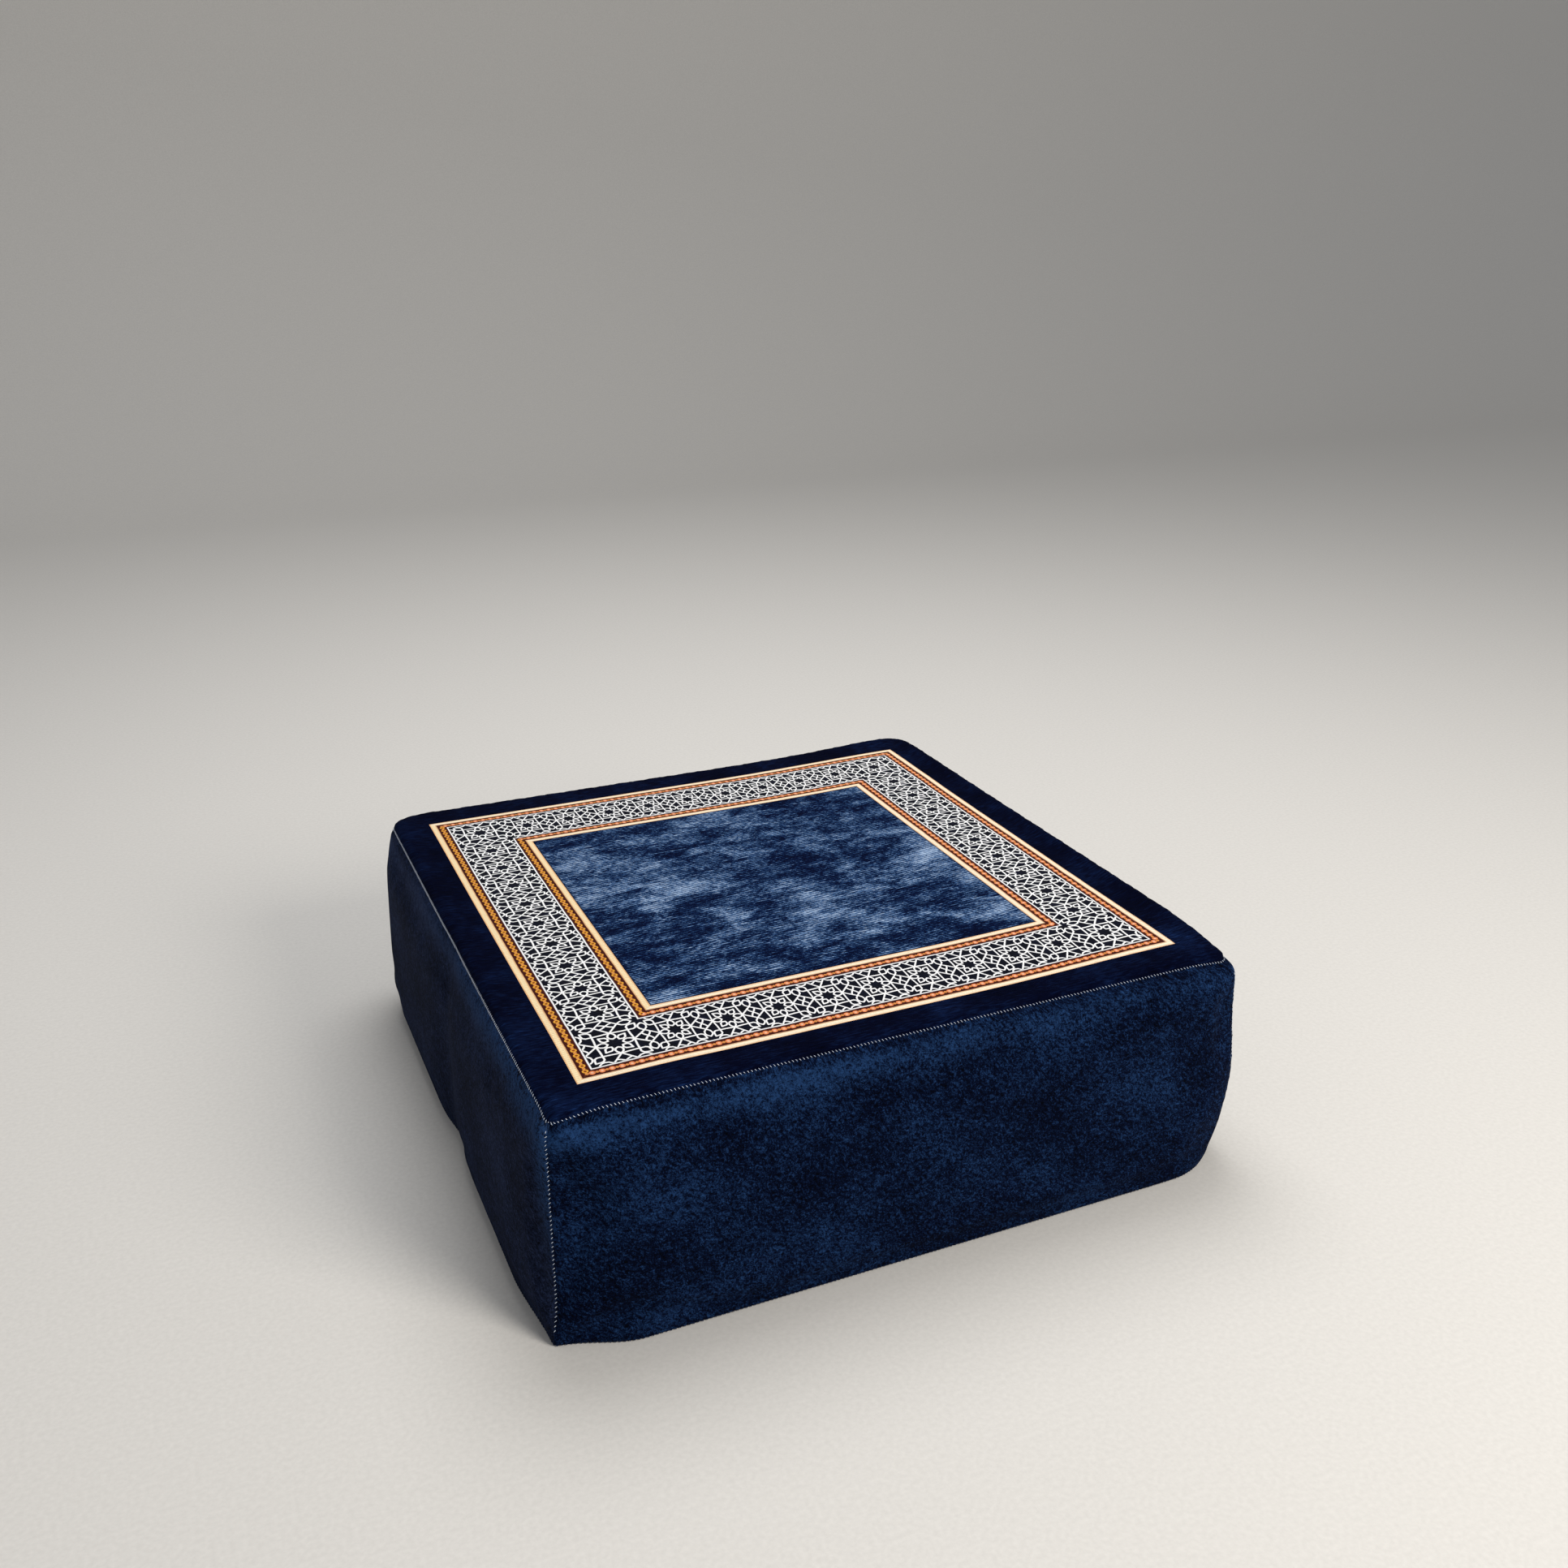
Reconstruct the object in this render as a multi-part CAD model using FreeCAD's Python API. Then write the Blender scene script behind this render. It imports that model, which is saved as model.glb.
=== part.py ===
"""Square box floor cushion: a zipped velvet cover over a lined, wadded foam block.

The cushion stands on its base in its own frame, in millimetres: origin at the middle
of the base, +Z up, front face towards -Y, the zip on the back face (+Y).  Each
physical piece is written to parts/NAME.step.
"""
import FreeCAD, Part

import math
import os

# Driving dimensions of the cover
HALF_WIDTH = 300.0          # centre to the outer face of a side panel
HEIGHT = 200.0
CORNER_RADIUS = 30.0        # plan radius of the four upright corners
CLOTH = 1.2                 # velvet with its backing
TURN_IN = 10.0              # seam allowance of the top and base panels
CORNER_TURN_IN = 8.0        # seam allowance of the upright corner seams

# Filling, from the outside in
LINING_GAP = 3.3            # room for the zip behind the back panels
LINING = 0.8
LINING_RADIUS = 60.0        # wide enough to clear the upright seam allowances
LINING_EDGE_RADIUS = 18.0   # the filling's rounded top and base edges
WADDING = 12.0

# Thread
THREAD_RADIUS = 0.35
THREAD_LIFT = 0.02          # daylight between a stitch and the cloth under it
TOP_STITCH_PITCH = 4.0
TOP_STITCH_SLANT = 1.4
CORNER_STITCH_PITCH = 5.0
CORNER_STITCH_LENGTH = 3.0
BASE_STITCH_PITCH = 5.0
ZIP_STITCH_PITCH = 3.2

# Zip, a 5 mm coil type sewn across the back
ZIP_HEIGHT = 55.0           # zip centre line above the base
ZIP_HALF_LENGTH = 240.0     # half the slot left between the two back panels
SLOT_HALF_HEIGHT = 5.0
TAPE = 0.8
TAPE_WIDTH = 15.0
TAPE_OVERRUN = 15.0         # tape sewn in past each end of the slot
TAPE_HALF_GAP = 1.2         # daylight between the tapes, where the slider's post runs
TOOTH_PITCH = 1.4
TOOTH_THICKNESS = 0.62
TOOTH_REACH = 3.0           # from the zip's centre line to the back of a tooth
TOOTH_OVERLAP = 0.6         # how far a tooth passes the centre line
TOOTH_DEPTH = 2.4
STOP_LENGTH = 3.0

# Slider and pull
SLIDER_CENTRE = 226.0       # slider's middle along X with the zip closed
SLIDER_LENGTH = 12.0
SLIDER_HALF_WIDTH = 4.6
SLIDER_TAIL_HALF_WIDTH = 4.1
SLIDER_PLATE = 1.2
SLIDER_CLEARANCE = 0.3
RUNNER_THICKNESS = 1.0
POST_HALF_WIDTH = 0.6
POST_LENGTH = 3.0
BRIDGE_LENGTH = 9.0
BRIDGE_WIDTH = 3.0
BRIDGE_BAR = 1.0
BRIDGE_RISE = 2.7           # room under the bridge
PULL_BAR_RADIUS = 0.9
PULL_THICKNESS = 1.6
PULL_HALF_WIDTH = 3.9
PULL_ARM_WIDTH = 1.5
PULL_LENGTH = 27.0
PULL_HOLE_RADIUS = 1.6

# Derived levels
side_bottom = CLOTH
side_top = HEIGHT - CLOTH
back_outer = HALF_WIDTH
back_inner = HALF_WIDTH - CLOTH
lining_half = back_inner - LINING_GAP
edge_level_low = side_bottom + LINING_EDGE_RADIUS
edge_level_high = side_top - LINING_EDGE_RADIUS
tooth_outer = back_inner + TOOTH_DEPTH
slider_tail = SLIDER_CENTRE - SLIDER_LENGTH / 2
slider_nose = SLIDER_CENTRE + SLIDER_LENGTH / 2
post_start = slider_nose - 1.0 - POST_LENGTH
slider_face = tooth_outer + SLIDER_CLEARANCE + SLIDER_PLATE
pull_axis_x = slider_nose - 4.2
pull_axis_y = slider_face + BRIDGE_RISE / 2


def vector(x, y, z):
    return FreeCAD.Vector(x, y, z)


def box(x_range, y_range, z_range):
    """Box between pairs of limits."""
    size = [high - low for low, high in (x_range, y_range, z_range)]
    return Part.makeBox(*size, vector(x_range[0], y_range[0], z_range[0]))


def slab(half, radius, bottom, top):
    """Square slab with rounded upright corners."""
    block = box((-half, half), (-half, half), (bottom, top))
    upright = [edge for edge in block.Edges if abs(edge.tangentAt(0).z) > 0.9]
    return block.makeFillet(radius, upright)


def band(half, radius, thickness, bottom, top):
    """Upright-walled ring of cloth or wadding."""
    inside = slab(half - thickness, radius - thickness, bottom - 1, top + 1)
    return slab(half, radius, bottom, top).cut(inside)


def filling_block(depth):
    """The filled lining, or what is left of it inside a given depth of lining and wadding."""
    block = slab(lining_half - depth, LINING_RADIUS - depth, side_bottom + depth, side_top - depth)
    rims = [edge for edge in block.Edges if abs(edge.CenterOfMass.z - HEIGHT / 2) > HEIGHT / 4]
    return block.makeFillet(LINING_EDGE_RADIUS - depth, rims)


def layer_cuts(shell):
    """A layer round the filling as its base, band and top pieces."""
    reach = 2 * HALF_WIDTH
    levels = (0, edge_level_low, edge_level_high, HEIGHT)
    cutters = [box((-reach, reach), (-reach, reach), pair) for pair in zip(levels, levels[1:])]
    return [shell.common(cutter) for cutter in cutters]


def turned(shape, quarter_turns):
    copy = shape.copy()
    copy.rotate(vector(0, 0, 0), vector(0, 0, 1), 90 * quarter_turns)
    return copy


def save(name, *shapes):
    """Write one node, a solid or a group of separate solids."""
    whole = shapes[0] if len(shapes) == 1 else Part.makeCompound(list(shapes))
    whole.exportStep(os.path.join("parts", name + ".step"))


def faced_panel(outer_level, inner_level, lip_end):
    """Top or base panel: a flat square with its allowance turned in along the sides."""
    face = slab(HALF_WIDTH, CORNER_RADIUS, min(outer_level, inner_level), max(outer_level, inner_level))
    lip = band(back_inner, CORNER_RADIUS - CLOTH, CLOTH, min(inner_level, lip_end), max(inner_level, lip_end))
    return face.fuse(lip).removeSplitter()


def side_panel():
    """The panel that faces -Y, with its two upright allowances turned in at the corners."""
    ring = band(HALF_WIDTH, CORNER_RADIUS, CLOTH, side_bottom, side_top)
    reach = 2 * HALF_WIDTH
    corners = [vector(0, 0, 0), vector(-reach, -reach, 0), vector(reach, -reach, 0), vector(0, 0, 0)]
    wedge = Part.Face(Part.makePolygon(corners)).extrude(vector(0, 0, HEIGHT))
    panel = ring.common(wedge)
    arc_centre = (HALF_WIDTH - CORNER_RADIUS) * math.sqrt(2)
    seam_inner = arc_centre + CORNER_RADIUS - CLOTH
    clear = side_bottom + TURN_IN + 1
    flap = box((seam_inner - CORNER_TURN_IN, seam_inner + CLOTH / 2), (-CLOTH, 0), (clear, HEIGHT - clear))
    right = flap.copy()
    right.rotate(vector(0, 0, 0), vector(0, 0, 1), -45)
    left = right.mirror(vector(0, 0, 0), vector(1, 0, 0))
    return panel.fuse([left, right]).removeSplitter()


def outline_points(half, radius, pitch):
    """Evenly spaced (point, outward normal) pairs round a rounded square."""
    straight = 2 * (half - radius)
    arc = math.pi * radius / 2
    side = straight + arc
    count = round(4 * side / pitch)
    for index in range(count):
        quarter, along = divmod(index * 4 * side / count, side)
        if along < straight:
            point = vector(along - straight / 2, -half, 0)
            normal = vector(0, -1, 0)
        else:
            angle = (along - straight) / radius - math.pi / 2
            normal = vector(math.cos(angle), math.sin(angle), 0)
            point = vector(straight / 2, -straight / 2, 0) + normal * radius
        spin = FreeCAD.Rotation(vector(0, 0, 1), 90 * quarter)
        yield spin.multVec(point), spin.multVec(normal)


def stitch(start, end):
    """One straight stretch of thread."""
    run = end - start
    return Part.makeCylinder(THREAD_RADIUS, run.Length, start, run)


def top_seam_stitches():
    """Slanted stitches that cross the joint between the top panel and the sides."""
    lift = THREAD_RADIUS + THREAD_LIFT
    stitches = []
    for point, normal in outline_points(HALF_WIDTH, CORNER_RADIUS, TOP_STITCH_PITCH):
        along = vector(0, 0, 1).cross(normal) * (TOP_STITCH_SLANT / 2)
        outside = point + normal * (lift + 0.02)
        low = outside - along + vector(0, 0, HEIGHT - 3.4)
        high = outside + along + vector(0, 0, HEIGHT - 0.5)
        stitches.append(stitch(low, high))
    return stitches


def base_seam_stitches():
    """Lockstitch through the turned-in allowance of the base, on its inner face."""
    offset = back_inner - CLOTH - THREAD_RADIUS - THREAD_LIFT
    limit = HALF_WIDTH - CORNER_RADIUS
    level = side_bottom + TURN_IN / 2
    stitches = []
    count = int(2 * limit / BASE_STITCH_PITCH)
    for side in range(4):
        spin = FreeCAD.Rotation(vector(0, 0, 1), 90 * side)
        for index in range(count):
            middle = (index + 0.5 - count / 2) * BASE_STITCH_PITCH
            start = spin.multVec(vector(middle - 1.8, -offset, level))
            end = spin.multVec(vector(middle + 1.8, -offset, level))
            stitches.append(stitch(start, end))
    return stitches


def corner_stitches(quarter_turns):
    """Short stitches across one upright corner seam."""
    diagonal = (HALF_WIDTH - CORNER_RADIUS) * math.sqrt(2) + CORNER_RADIUS
    sagitta = CORNER_STITCH_LENGTH ** 2 / (8 * CORNER_RADIUS)
    offset = diagonal + THREAD_RADIUS + THREAD_LIFT + sagitta
    count = int((side_top - side_bottom - 12) / CORNER_STITCH_PITCH)
    half = CORNER_STITCH_LENGTH / 2
    spin = FreeCAD.Rotation(vector(0, 0, 1), -135 + 90 * quarter_turns)
    stitches = []
    for index in range(count):
        level = HEIGHT / 2 + (index + 0.5 - count / 2) * CORNER_STITCH_PITCH
        start = spin.multVec(vector(offset, -half, level - 0.5))
        end = spin.multVec(vector(offset, half, level + 0.5))
        stitches.append(stitch(start, end))
    return stitches


def zip_stitches(side):
    """Topstitching that holds one tape, along one lip of the slot; side is +1 or -1."""
    level = ZIP_HEIGHT + side * (SLOT_HALF_HEIGHT + 3.5)
    outside = back_outer + THREAD_RADIUS + THREAD_LIFT
    count = int(2 * ZIP_HALF_LENGTH / ZIP_STITCH_PITCH)
    stitches = []
    for index in range(count):
        middle = (index + 0.5 - count / 2) * ZIP_STITCH_PITCH
        stitches.append(stitch(vector(middle - 1.2, outside, level), vector(middle + 1.2, outside, level)))
    return stitches


def zip_tape(side):
    near = ZIP_HEIGHT + side * TAPE_HALF_GAP
    far = ZIP_HEIGHT + side * (TAPE_HALF_GAP + TAPE_WIDTH)
    reach = ZIP_HALF_LENGTH + TAPE_OVERRUN
    return box((-reach, reach), (back_inner - TAPE, back_inner), (min(near, far), max(near, far)))


def zip_row(side):
    """One row of coil turns, interleaved with the other row by half a pitch."""
    start = -ZIP_HALF_LENGTH + STOP_LENGTH + 1.0
    shift = 0 if side > 0 else TOOTH_PITCH / 2
    count = int((post_start - 0.6 - start - TOOTH_PITCH) / TOOTH_PITCH)
    back = ZIP_HEIGHT + side * TOOTH_REACH
    tip = ZIP_HEIGHT - side * TOOTH_OVERLAP
    turns = []
    for index in range(count):
        x = start + shift + index * TOOTH_PITCH
        turns.append(box((x, x + TOOTH_THICKNESS), (back_inner, tooth_outer), (min(back, tip), max(back, tip))))
    return turns


def top_stop(side):
    """Crimped stop at the closed end of one tape."""
    start = slider_nose + SLIDER_CLEARANCE + 0.2
    near = ZIP_HEIGHT + side * TAPE_HALF_GAP
    far = ZIP_HEIGHT + side * (TAPE_HALF_GAP + 2.4)
    return box((start, start + STOP_LENGTH), (back_inner, tooth_outer - 0.4), (min(near, far), max(near, far)))


def bottom_stop():
    """Box stop that joins both tapes at the open end."""
    start = -ZIP_HALF_LENGTH + 0.3
    reach = TAPE_HALF_GAP + 2.4
    return box((start, start + STOP_LENGTH), (back_inner, tooth_outer), (ZIP_HEIGHT - reach, ZIP_HEIGHT + reach))


def slider_plate(y_start):
    """Shield-shaped plate of the slider, wide at its nose."""
    outline = [
        vector(slider_tail, y_start, ZIP_HEIGHT - SLIDER_TAIL_HALF_WIDTH),
        vector(slider_nose - 3.0, y_start, ZIP_HEIGHT - SLIDER_HALF_WIDTH),
        vector(slider_nose, y_start, ZIP_HEIGHT - SLIDER_HALF_WIDTH + 1.2),
        vector(slider_nose, y_start, ZIP_HEIGHT + SLIDER_HALF_WIDTH - 1.2),
        vector(slider_nose - 3.0, y_start, ZIP_HEIGHT + SLIDER_HALF_WIDTH),
        vector(slider_tail, y_start, ZIP_HEIGHT + SLIDER_TAIL_HALF_WIDTH),
    ]
    outline.append(outline[0])
    return Part.Face(Part.makePolygon(outline)).extrude(vector(0, SLIDER_PLATE, 0))


def zip_slider():
    """Slider: two plates round the coil, joined by the post, with side rails and a bridge."""
    outer_plate = slider_plate(slider_face - SLIDER_PLATE)
    tape_inner = back_inner - TAPE
    inner_plate = slider_plate(tape_inner - SLIDER_CLEARANCE - SLIDER_PLATE)
    post_outline = [
        vector(post_start, tape_inner - SLIDER_CLEARANCE, ZIP_HEIGHT),
        vector(post_start + POST_LENGTH / 2, tape_inner - SLIDER_CLEARANCE, ZIP_HEIGHT - POST_HALF_WIDTH),
        vector(post_start + POST_LENGTH, tape_inner - SLIDER_CLEARANCE, ZIP_HEIGHT),
        vector(post_start + POST_LENGTH / 2, tape_inner - SLIDER_CLEARANCE, ZIP_HEIGHT + POST_HALF_WIDTH),
    ]
    post_outline.append(post_outline[0])
    post_height = tooth_outer + 2 * SLIDER_CLEARANCE - tape_inner
    post = Part.Face(Part.makePolygon(post_outline)).extrude(vector(0, post_height, 0))
    pieces = [inner_plate, post]
    for side in (-1, 1):
        near = ZIP_HEIGHT + side * (TOOTH_REACH + SLIDER_CLEARANCE)
        far = near + side * 0.8
        rail_bottom = back_inner + SLIDER_CLEARANCE + 0.1
        rail = box(
            (slider_tail + 0.2, slider_nose - 3.2),
            (rail_bottom, slider_face - SLIDER_PLATE),
            (min(near, far), max(near, far)),
        )
        pieces.append(rail)
    bridge_start = SLIDER_CENTRE - BRIDGE_LENGTH / 2
    bridge_end = SLIDER_CENTRE + BRIDGE_LENGTH / 2
    width = (ZIP_HEIGHT - BRIDGE_WIDTH / 2, ZIP_HEIGHT + BRIDGE_WIDTH / 2)
    arch = box((bridge_start, bridge_end), (slider_face, slider_face + BRIDGE_RISE + BRIDGE_BAR), width)
    outer_edges = [
        edge for edge in arch.Edges
        if abs(edge.tangentAt(0).z) > 0.9 and edge.CenterOfMass.y > slider_face + BRIDGE_RISE
    ]
    arch = arch.makeFillet(BRIDGE_BAR, outer_edges)
    opening = box(
        (bridge_start + BRIDGE_BAR, bridge_end - BRIDGE_BAR),
        (slider_face - 1, slider_face + BRIDGE_RISE),
        (width[0] - 1, width[1] + 1),
    )
    pieces.append(arch.cut(opening))
    return outer_plate.fuse(pieces).removeSplitter()


def zip_pull():
    """Pull: a round bar under the bridge, two arms and a flat tab that lies along the closed coil."""
    bar_half = PULL_HALF_WIDTH
    bar = Part.makeCylinder(
        PULL_BAR_RADIUS, 2 * bar_half, vector(pull_axis_x, pull_axis_y, ZIP_HEIGHT - bar_half), vector(0, 0, 1)
    )
    tab_start = SLIDER_CENTRE - BRIDGE_LENGTH / 2 - 1.0
    y_range = (pull_axis_y - PULL_THICKNESS / 2, pull_axis_y + PULL_THICKNESS / 2)
    pieces = []
    for side in (-1, 1):
        outer = ZIP_HEIGHT + side * PULL_HALF_WIDTH
        inner = outer - side * PULL_ARM_WIDTH
        pieces.append(box((tab_start - 1, pull_axis_x), y_range, (min(outer, inner), max(outer, inner))))
    tab_end = pull_axis_x - PULL_LENGTH
    tab = box((tab_end, tab_start), y_range, (ZIP_HEIGHT - PULL_HALF_WIDTH, ZIP_HEIGHT + PULL_HALF_WIDTH))
    tip_edges = [
        edge for edge in tab.Edges
        if abs(edge.tangentAt(0).y) > 0.9 and edge.CenterOfMass.x < tab_end + 1
    ]
    tab = tab.makeFillet(PULL_HALF_WIDTH - 0.4, tip_edges)
    hole_centre = vector(tab_end + PULL_HALF_WIDTH, y_range[0] - 1, ZIP_HEIGHT)
    hole = Part.makeCylinder(PULL_HOLE_RADIUS, PULL_THICKNESS + 2, hole_centre, vector(0, 1, 0))
    pieces.append(tab.cut(hole))
    return bar.fuse(pieces).removeSplitter()


def write_filling():
    lined = filling_block(0)
    wadded = filling_block(LINING)
    foam = filling_block(LINING + WADDING)
    save("foam_core", foam)
    for layer, shell in (("lining", lined.cut(wadded)), ("wadding", wadded.cut(foam))):
        for place, piece in zip(("base", "band", "top"), layer_cuts(shell)):
            save(layer + "_" + place, piece)


def write_cover():
    save("top_panel", faced_panel(HEIGHT, side_top, side_top - TURN_IN))
    save("base_panel", faced_panel(0, side_bottom, side_bottom + TURN_IN))
    side = side_panel()
    save("front_panel", side)
    save("right_panel", turned(side, 1))
    save("left_panel", turned(side, 3))
    back = turned(side, 2)
    slot = box(
        (-ZIP_HALF_LENGTH, ZIP_HALF_LENGTH),
        (back_inner - 1, back_outer + 1),
        (ZIP_HEIGHT - SLOT_HALF_HEIGHT, ZIP_HEIGHT + SLOT_HALF_HEIGHT),
    )
    back = back.cut(slot)
    reach = 2 * HALF_WIDTH
    lower_half = box((-reach, reach), (0, reach), (0, ZIP_HEIGHT))
    upper_half = box((-reach, reach), (0, reach), (ZIP_HEIGHT, HEIGHT))
    save("back_panel_lower", back.common(lower_half))
    save("back_panel_upper", back.common(upper_half))


def write_thread():
    save("top_seam_thread", *top_seam_stitches())
    save("base_seam_thread", *base_seam_stitches())
    corners = ("front_left", "front_right", "back_right", "back_left")
    for quarter_turns, corner in enumerate(corners):
        save("corner_thread_" + corner, *corner_stitches(quarter_turns))
    save("zip_thread_upper", *zip_stitches(1))
    save("zip_thread_lower", *zip_stitches(-1))


def write_zip():
    save("zip_tape_upper", zip_tape(1))
    save("zip_tape_lower", zip_tape(-1))
    save("zip_coil_upper", *zip_row(1))
    save("zip_coil_lower", *zip_row(-1))
    save("zip_top_stops", top_stop(1), top_stop(-1))
    save("zip_bottom_stop", bottom_stop())
    save("zip_slider", zip_slider())
    save("zip_pull", zip_pull())


os.makedirs("parts", exist_ok=True)
write_filling()
write_cover()
write_thread()
write_zip()
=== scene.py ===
"""Floor cushion: the cover, its print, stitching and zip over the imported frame, in metres."""
import math

import bpy
import numpy as np
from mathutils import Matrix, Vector
from mathutils.bvhtree import BVHTree


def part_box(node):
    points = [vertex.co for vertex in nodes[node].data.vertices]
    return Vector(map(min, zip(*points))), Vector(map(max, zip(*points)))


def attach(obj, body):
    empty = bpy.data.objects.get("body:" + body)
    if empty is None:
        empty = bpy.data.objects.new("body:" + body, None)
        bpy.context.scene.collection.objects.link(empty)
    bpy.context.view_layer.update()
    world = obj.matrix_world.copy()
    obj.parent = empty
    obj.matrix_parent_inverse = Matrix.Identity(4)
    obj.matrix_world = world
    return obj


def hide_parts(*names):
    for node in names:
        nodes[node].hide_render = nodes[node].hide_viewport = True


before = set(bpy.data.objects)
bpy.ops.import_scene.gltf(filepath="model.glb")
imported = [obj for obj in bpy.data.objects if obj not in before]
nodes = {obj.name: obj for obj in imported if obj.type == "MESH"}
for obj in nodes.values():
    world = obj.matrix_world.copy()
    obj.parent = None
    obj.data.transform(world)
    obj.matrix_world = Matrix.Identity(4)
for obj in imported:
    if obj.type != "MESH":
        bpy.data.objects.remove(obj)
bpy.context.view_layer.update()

# -------- dimensions in metres
SEAM_INSET = 0.0015  # the top seam inside the top panel's edge
SEAM_DROP = 0.003  # the top seam below the top panel's top
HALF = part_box("top_panel")[1][0] - SEAM_INSET
SEAM_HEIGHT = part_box("top_panel")[1][2] - SEAM_DROP
BASE_HEIGHT = 0.0004  # the base panel above the floor
FOOT_RADIUS = 0.005  # how the walls turn under at the floor
FOOT_TURN = 0.0006  # how far the base seam lies inside the wall's outermost line
PRINT_HALF = 0.2647  # centre to the printed square's edge
STRIPES = 0.01615  # cream, beads and white line beside the lattice
LATTICE = 0.0530  # width of the lattice band
BORDER = 2 * STRIPES + LATTICE
FIELD_HALF = PRINT_HALF - BORDER
STRIP_CUT = PRINT_HALF / 3
ZIP_HEIGHT = (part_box("zip_tape_upper")[0][2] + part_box("zip_tape_lower")[1][2]) / 2
ZIP_COVER = 0.0009  # the cover outside the zip's tape
ZIP_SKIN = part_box("zip_tape_upper")[1][1] + ZIP_COVER
SLOT_HALF_LENGTH = 0.240
SLOT_HALF_HEIGHT = 0.005
HEM_DEPTH = 0.0007  # the turned-in cloth behind the back wall's surface
HEM_WIDTH = 0.0030
GRID_STEP = 0.0062
GRID_EDGES = (0.009, 0.003)  # grid lines kept this far from a seam
SIDES = ("front", "right", "back", "left")
QUADRANTS = ((-1, -1), (1, -1), (1, 1), (-1, 1))  # signs of x and y at each side's left-hand corner
# how far each wall swells out near the floor: at its left end, its middle and its right end
WALL_SWELL = {
    "front": (0.0012, 0.0195, 0.0172),
    "right": (0.0145, 0.012, 0.010),
    "back": (0.008, 0.008, 0.004),
    "left": (0.003, 0.012, 0.0045),
}
# how far the print's corners are sewn off their true places, by the signs of x and y
PRINT_SHIFTS = {
    (-1, -1): (-0.0005, -0.0040),
    (1, -1): (-0.0045, -0.0050),
    (1, 1): (-0.0015, -0.0090),
    (-1, 1): (0.0010, -0.0105),
}
LEFT_TUCK = 0.006  # how far the left wall is drawn in at its one kink
TUCK_PLACE = 0.02  # the kink's place and width, in half lengths of the wall
TUCK_WIDTH = 0.11
TOP_SWELL = 0.0020  # how far every wall stands out just under the top seam,
SWELL_SHARE = 0.48  # and the share of its lower swell added there
SHOULDER = 0.018  # height of the bend under the top seam
SWELL_DEPTHS = (0.012, 0.155)  # below the seam, where the lower swell starts and is full
FLARE_HEIGHT = 0.11  # the corners' plan radius grows below this height
TOP_CROWN = 0.0008
TOP_ROLL = 0.0034  # how far the top stands above its seam, and how near it rolls down
ROLL_REACH = 0.012
LIFT_RIGHT = 0.0034  # how much higher the top lies towards the right and the back
LIFT_BACK = 0.0012
LIFT_REACH = 0.008
CORNER_DROP = 0.0030  # how far the top drops at its corners,
FRONT_LEFT_DROP = 0.0046  # at the front left one,
SHALLOW_DROP = 0.0013  # and farther in beside that one
DROP_REACH = 0.020  # from the seam
RIGHT_RISE = 0.0045  # how much less it drops at the right edge
# plan radius of each side's left-hand corner, at the top seam and at the floor
CORNER_RADII = {
    "front": (0.004, 0.004),
    "right": (0.010, 0.066),
    "back": (0.022, 0.036),
    "left": (0.022, 0.036),
}


def smooth(value, low, high):
    t = np.clip((value - low) / (high - low), 0, 1)
    return t * t * (3 - 2 * t)


def quarter_round(value, size):
    """0 at value 0, rising on a quarter circle to 1 where value reaches size."""
    return np.sqrt(1 - (1 - np.clip(value / size, 0, 1)) ** 2)


# -------- cover grid


def spread(stops, step):
    """Coordinates through every stop, evenly spaced between them and about a step apart."""
    values = [stops[0]]
    for low, high in zip(stops, stops[1:]):
        count = max(1, round((high - low) / step))
        values += [low + (high - low) * (k + 1) / count for k in range(count)]
    return np.array(values)


def both_ways(stops):
    return [-value for value in stops[:0:-1]] + stops


CUTS = [0, STRIP_CUT, FIELD_HALF, SLOT_HALF_LENGTH, PRINT_HALF]
COLUMNS = spread(both_ways([*CUTS, *(HALF - gap for gap in GRID_EDGES), HALF]), GRID_STEP)
LEVELS = spread(
    [0, 0.004, 0.012, 0.030, ZIP_HEIGHT - SLOT_HALF_HEIGHT, ZIP_HEIGHT, ZIP_HEIGHT + SLOT_HALF_HEIGHT,
     SEAM_HEIGHT - 0.030, *(SEAM_HEIGHT - gap for gap in GRID_EDGES), SEAM_HEIGHT],
    GRID_STEP,
)
LAST = len(COLUMNS) - 1
TOP_LEVEL = len(LEVELS) - 1


def plan_radius(x, y, level):
    """Plan radius of the corner nearest to each point."""
    share = (1 - np.clip(level / FLARE_HEIGHT, 0, 1)) ** 1.5
    radius = np.zeros_like(x)
    for side, (sign_x, sign_y) in zip(SIDES, QUADRANTS):
        top, foot = CORNER_RADII[side]
        here = (x * sign_x >= 0) & (y * sign_y >= 0)
        radius = np.where(here, top + (foot - top) * share, radius)
    return radius


def round_corners(x, y, half_x, half_y, radius):
    """Moves the points of a rectangle's rings on to rings with rounded corners."""
    qx = np.abs(x) - (half_x - radius)
    qy = np.abs(y) - (half_y - radius)
    corner = (qx > 0) & (qy > 0)
    reach = np.maximum(qx, qy)
    length = np.maximum(np.hypot(qx, qy), 1e-9)
    new_x = np.where(corner, np.sign(x) * (half_x - radius + qx * reach / length), x)
    new_y = np.where(corner, np.sign(y) * (half_y - radius + qy * reach / length), y)
    return new_x, new_y


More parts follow.
